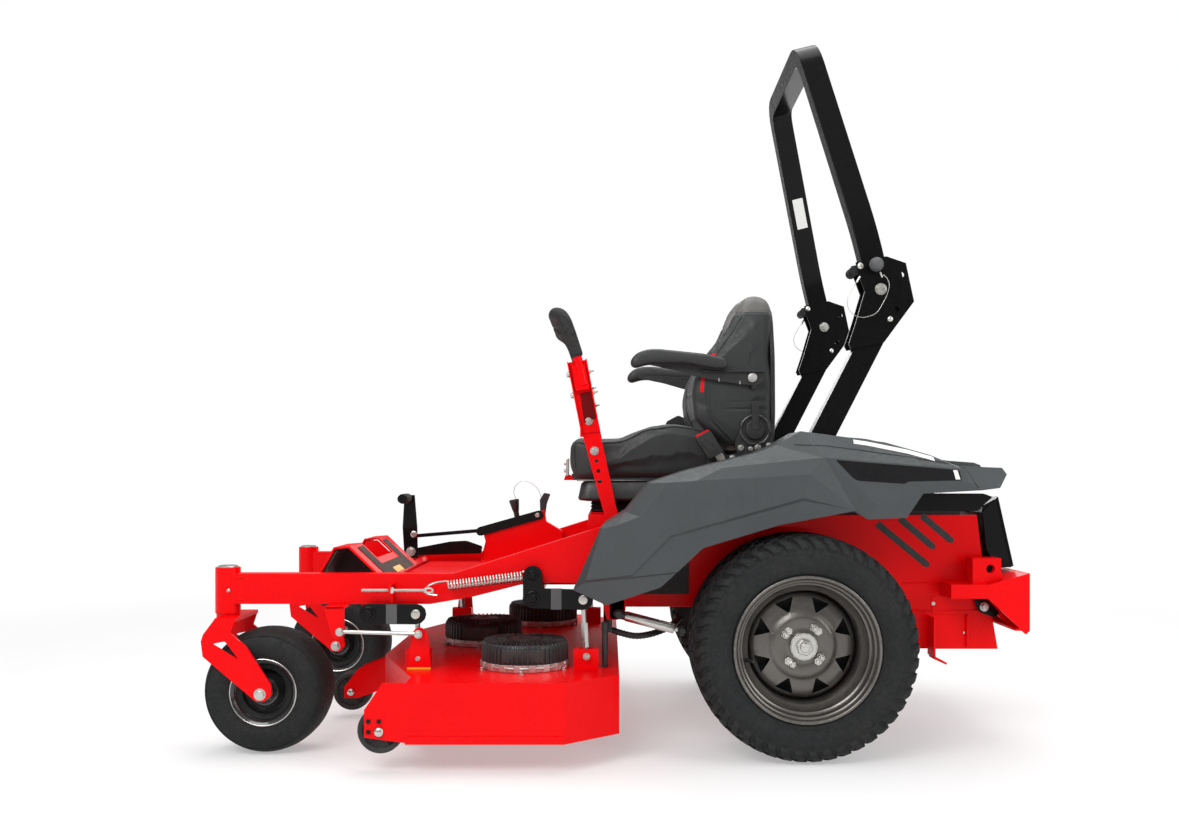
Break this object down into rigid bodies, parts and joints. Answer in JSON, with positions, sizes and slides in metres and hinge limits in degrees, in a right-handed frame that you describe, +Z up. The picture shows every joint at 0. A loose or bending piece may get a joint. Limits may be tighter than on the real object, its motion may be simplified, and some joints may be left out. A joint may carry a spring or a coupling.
{
  "type": "zero turn mower",
  "caption": "Ride-on zero turn mower with a mid-mounted side-discharge deck, caster front wheels, twin lap bars, a sprung seat and a folding roll bar.",
  "frame": {"origin": "on the ground, under the middle of the bounding box", "axes": "+X towards the back of the machine, -X the way it drives forward, +Y the driver's right, +Z up"},
  "size_m": [2.216, 1.642, 1.9692],
  "materials": {
    "red_paint": "gloss powder coat",
    "black_paint": "gloss black paint",
    "fender_plastic": "grained dark grey moulding",
    "motor_black": "satin black moulding",
    "battery_case": "matt black case",
    "chute_rubber": "matt black rubber",
    "bare_steel": "zinc plated",
    "tyre_rubber": "worn matt rubber",
    "rim_grey": "metallic gun-metal paint",
    "rim_black": "gloss black paint",
    "seat_vinyl": "soft charcoal vinyl",
    "grip_foam": "moulded foam"
  },
  "bodies": {
    "chassis": {"frame_rail_left": "red_paint", "frame_rail_right": "red_paint", "foot_ramp": "red_paint", "floor_pan": "red_paint", "rear_frame": "red_paint", "rear_bumper": "red_paint", "rear_panel": "black_paint", "battery_pack": "battery_case", "drive_unit_left": "motor_black", "drive_unit_right": "motor_black", "fender_left": "fender_plastic", "fender_right": "fender_plastic", "rops_post_left": "black_paint", "rops_post_right": "black_paint", "lift_spring_left": "bare_steel"},
    "deck": {"deck_shell": "red_paint", "blade_motor_left": "motor_black", "blade_motor_centre": "motor_black", "blade_motor_right": "motor_black", "lift_link_front_left": "bare_steel", "lift_link_front_right": "bare_steel", "lift_link_rear_left": "bare_steel", "lift_link_rear_right": "bare_steel"},
    "discharge_chute": {"discharge_chute": "chute_rubber"},
    "front_lift": {"front_lift_shaft": "black_paint"},
    "rear_lift": {"rear_lift_shaft": "black_paint"},
    "pedal": {"lift_pedal": "black_paint"},
    "pedal_link": {"pedal_link": "black_paint"},
    "suspension": {"seat_suspension": "motor_black"},
    "seat_base": {"seat_cushion": "seat_vinyl"},
    "seat_back": {"seat_back": "seat_vinyl"},
    "recline_handle": {"recline_handle": "motor_black"},
    "rear_hood": {"rear_hood": "fender_plastic"},
    "rops_hoop": {"rops_hoop": "black_paint"},
    "caster_swivel_left": {"caster_fork_left": "red_paint"},
    "caster_wheel_left": {"caster_tyre_left": "tyre_rubber", "caster_rim_left": "rim_black"},
    "rear_wheel_left": {"rear_tyre_left": "tyre_rubber", "rear_rim_left": "rim_grey", "wheel_hub_left": "bare_steel"},
    "lever_base_left": {"lap_bar_base_left": "red_paint"},
    "lap_bar_left": {"lap_bar_left": "grip_foam"},
    "armrest_left": {"armrest_left": "grip_foam"},
    "rops_pin_left": {"rops_pin_left": "black_paint"},
    "caster_swivel_right": {"caster_fork_right": "red_paint"},
    "caster_wheel_right": {"caster_tyre_right": "tyre_rubber", "caster_rim_right": "rim_black"},
    "rear_wheel_right": {"rear_tyre_right": "tyre_rubber", "rear_rim_right": "rim_grey", "wheel_hub_right": "bare_steel"},
    "lever_base_right": {"lap_bar_base_right": "red_paint"},
    "lap_bar_right": {"lap_bar_right": "grip_foam"},
    "armrest_right": {"armrest_right": "grip_foam"},
    "rops_pin_right": {"rops_pin_right": "black_paint"},
    "blade_left": {"blade_left": "bare_steel"},
    "blade_centre": {"blade_centre": "bare_steel"},
    "blade_right": {"blade_right": "bare_steel"},
    "deck_roller_left": {"deck_roller_left": "chute_rubber"},
    "deck_roller_centre": {"deck_roller_centre": "chute_rubber"},
    "deck_roller_right": {"deck_roller_right": "chute_rubber"}
  },
  "joints": [
    {"name": "caster_swivel_left", "type": "hinge", "parent": "chassis", "child": "caster_swivel_left", "pos_m": [-1.058, -0.553, 0.4], "axis": [0, 0, 1], "continuous": true},
    {"name": "caster_spin_left", "type": "hinge", "parent": "caster_swivel_left", "child": "caster_wheel_left", "pos_m": [-0.943, -0.553, 0.165], "axis": [0, 1, 0], "continuous": true},
    {"name": "rear_wheel_spin_left", "type": "hinge", "parent": "chassis", "child": "rear_wheel_left", "pos_m": [0.474, -0.6, 0.293], "axis": [0, 1, 0], "continuous": true},
    {"name": "caster_swivel_right", "type": "hinge", "parent": "chassis", "child": "caster_swivel_right", "pos_m": [-1.058, 0.273, 0.4], "axis": [0, 0, 1], "continuous": true},
    {"name": "caster_spin_right", "type": "hinge", "parent": "caster_swivel_right", "child": "caster_wheel_right", "pos_m": [-0.943, 0.273, 0.165], "axis": [0, 1, 0], "continuous": true},
    {"name": "rear_wheel_spin_right", "type": "hinge", "parent": "chassis", "child": "rear_wheel_right", "pos_m": [0.474, 0.32, 0.293], "axis": [0, 1, 0], "continuous": true},
    {"name": "blade_spin_left", "type": "hinge", "parent": "deck", "child": "blade_left", "pos_m": [-0.257, -0.57, 0.095], "axis": [0, 0, 1], "continuous": true},
    {"name": "blade_spin_centre", "type": "hinge", "parent": "deck", "child": "blade_centre", "pos_m": [-0.414, -0.14, 0.095], "axis": [0, 0, 1], "continuous": true},
    {"name": "blade_spin_right", "type": "hinge", "parent": "deck", "child": "blade_right", "pos_m": [-0.257, 0.29, 0.095], "axis": [0, 0, 1], "continuous": true},
    {"name": "deck_roller_spin_left", "type": "hinge", "parent": "deck", "child": "deck_roller_left", "pos_m": [-0.598, -0.785, 0.106], "axis": [0, 1, 0], "continuous": true},
    {"name": "deck_roller_spin_centre", "type": "hinge", "parent": "deck", "child": "deck_roller_centre", "pos_m": [-0.812, -0.14, 0.08], "axis": [0, 1, 0], "continuous": true},
    {"name": "deck_roller_spin_right", "type": "hinge", "parent": "deck", "child": "deck_roller_right", "pos_m": [-0.598, 0.505, 0.106], "axis": [0, 1, 0], "continuous": true},
    {"name": "deck_lift", "type": "slide", "parent": "chassis", "child": "deck", "axis": [0, 0, 1], "range_m": [-0.015, 0.048]},
    {"name": "front_lift_turn", "type": "hinge", "parent": "chassis", "child": "front_lift", "pos_m": [-0.667, -0.14, 0.371], "axis": [0, -1, 0], "range_deg": [-7.08, 22.2]},
    {"name": "rear_lift_turn", "type": "hinge", "parent": "chassis", "child": "rear_lift", "pos_m": [-0.233, -0.14, 0.412], "axis": [0, -1, 0], "range_deg": [-6.66, 20.88], "deforming": ["lift_spring_left"]},
    {"name": "pedal_press", "type": "hinge", "parent": "chassis", "child": "pedal", "pos_m": [-0.694, 0.193, 0.478], "axis": [0, -1, 0], "range_deg": [-5.18, 16.15]},
    {"name": "pedal_link_travel", "type": "slide", "parent": "chassis", "child": "pedal_link", "axis": [-1, 0, 0], "range_m": [-0.005, 0.015]},
    {"name": "chute_flip", "type": "hinge", "parent": "deck", "child": "discharge_chute", "pos_m": [-0.335, 0.546, 0.214], "axis": [1, 0, 0], "range_deg": [0, 80]},
    {"name": "lever_drive_left", "type": "hinge", "parent": "chassis", "child": "lever_base_left", "pos_m": [-0.02, -0.438, 0.6], "axis": [0, 1, 0], "range_deg": [-15, 15]},
    {"name": "lap_bar_swing_left", "type": "hinge", "parent": "lever_base_left", "child": "lap_bar_left", "pos_m": [-0.082, -0.445, 0.8535], "axis": [1, 0, 0], "range_deg": [0, 35]},
    {"name": "lever_drive_right", "type": "hinge", "parent": "chassis", "child": "lever_base_right", "pos_m": [-0.02, 0.158, 0.6], "axis": [0, 1, 0], "range_deg": [-15, 15]},
    {"name": "lap_bar_swing_right", "type": "hinge", "parent": "lever_base_right", "child": "lap_bar_right", "pos_m": [-0.082, 0.165, 0.8535], "axis": [-1, 0, 0], "range_deg": [0, 35]},
    {"name": "seat_suspension_travel", "type": "slide", "parent": "chassis", "child": "suspension", "axis": [0, 0, 1], "range_m": [-0.03, 0.03], "stiffness_N_per_m": 9000, "springref_m": 0.055},
    {"name": "seat_slide", "type": "slide", "parent": "suspension", "child": "seat_base", "axis": [1, 0, 0], "range_m": [-0.09, 0.06]},
    {"name": "seat_recline", "type": "hinge", "parent": "seat_base", "child": "seat_back", "pos_m": [0.384, -0.14, 0.866], "axis": [0, 1, 0], "range_deg": [0, 15]},
    {"name": "recline_handle_turn", "type": "hinge", "parent": "seat_base", "child": "recline_handle", "pos_m": [0.384, -0.384, 0.866], "axis": [0, 1, 0], "range_deg": [-25, 0]},
    {"name": "armrest_tilt_left", "type": "hinge", "parent": "seat_back", "child": "armrest_left", "pos_m": [0.376, -0.402, 1.014], "axis": [0, 1, 0], "range_deg": [0, 90]},
    {"name": "armrest_tilt_right", "type": "hinge", "parent": "seat_back", "child": "armrest_right", "pos_m": [0.376, 0.122, 1.014], "axis": [0, 1, 0], "range_deg": [0, 90]},
    {"name": "hood_open", "type": "hinge", "parent": "chassis", "child": "rear_hood", "pos_m": [1.02, -0.14, 0.712], "axis": [0, -1, 0], "range_deg": [-65, 0]},
    {"name": "rops_fold", "type": "hinge", "parent": "chassis", "child": "rops_hoop", "pos_m": [0.697, -0.14, 1.236], "axis": [0, 1, 0], "range_deg": [0, 110]},
    {"name": "rops_pin_pull_left", "type": "slide", "parent": "chassis", "child": "rops_pin_left", "axis": [0, -1, 0], "range_m": [0, 0.05]},
    {"name": "rops_pin_pull_right", "type": "slide", "parent": "chassis", "child": "rops_pin_right", "axis": [0, 1, 0], "range_m": [0, 0.05]}
  ],
  "couplings": [
    {"joint": "front_lift_turn", "follows": "deck_lift", "rad_per_m": 8},
    {"joint": "rear_lift_turn", "follows": "deck_lift", "rad_per_m": 7.52},
    {"joint": "pedal_press", "follows": "deck_lift", "rad_per_m": 5.8},
    {"joint": "pedal_link_travel", "follows": "deck_lift", "ratio": 0.302}
  ]
}
